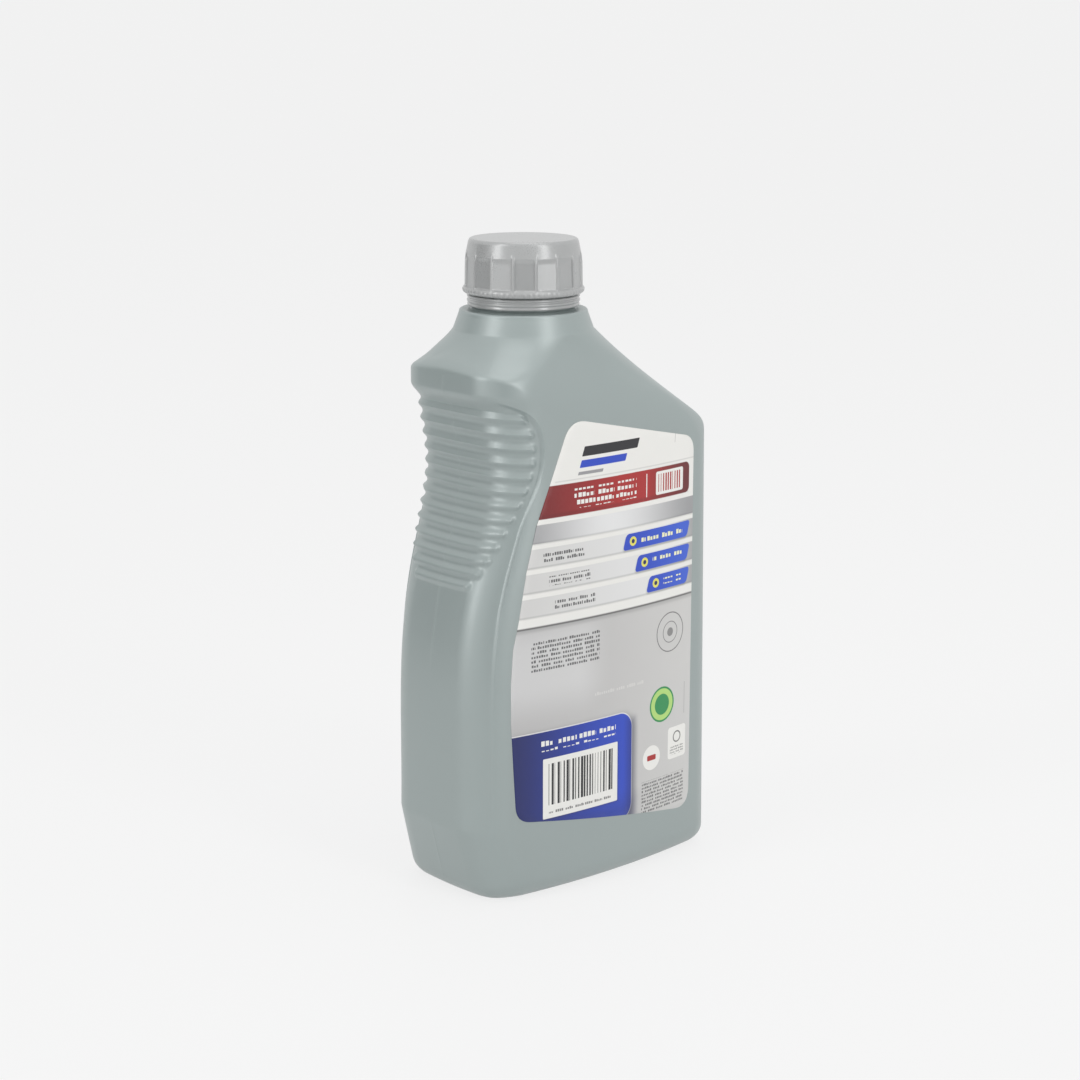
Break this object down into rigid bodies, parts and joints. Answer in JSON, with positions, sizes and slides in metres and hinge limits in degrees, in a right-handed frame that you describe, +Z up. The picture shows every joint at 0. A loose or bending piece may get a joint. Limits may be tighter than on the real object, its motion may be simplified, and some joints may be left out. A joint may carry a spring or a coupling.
{
  "type": "motor oil bottle",
  "caption": "Blow-moulded motor oil bottle with a ribbed waisted grip at one end, sloped shoulder, offset neck, ribbed screw cap with tamper band, and a label on each face.",
  "frame": {"origin": "on the surface that the bottle stands on, under the middle of its bounding box", "axes": "+Z up through the cap; X along the width with the ribbed grip and the neck at -X; the label face that the picture shows faces -Y"},
  "size_m": [0.1155, 0.0624, 0.229],
  "materials": {
    "bottle_plastic": "satin blue-grey blown plastic",
    "cap_plastic": "satin light grey moulded plastic",
    "liner_foam": "white closed foam",
    "band_plastic": "light grey moulded plastic, a little glossier than the cap",
    "front_label_film": "printed film, plain fields of colour",
    "back_label_film": "printed film, plain fields of colour"
  },
  "bodies": {
    "bottle_body": {"bottle": "bottle_plastic", "tamper_band": "band_plastic", "front_label": "front_label_film", "back_label": "back_label_film"},
    "liner_body": {"cap_liner": "liner_foam"},
    "cap_body": {"cap": "cap_plastic"}
  },
  "joints": [
    {"name": "cap_rise", "type": "slide", "parent": "bottle_body", "child": "liner_body", "axis": [0, 0, 1], "range_m": [0, 0.017]},
    {"name": "cap_turn", "type": "hinge", "parent": "liner_body", "child": "cap_body", "pos_m": [-0.0144, 0, 0.22], "axis": [0, 0, 1], "range_deg": [0, 1440]}
  ],
  "couplings": [
    {"joint": "cap_rise", "follows": "cap_turn", "m_per_rad": 0.00067375}
  ]
}
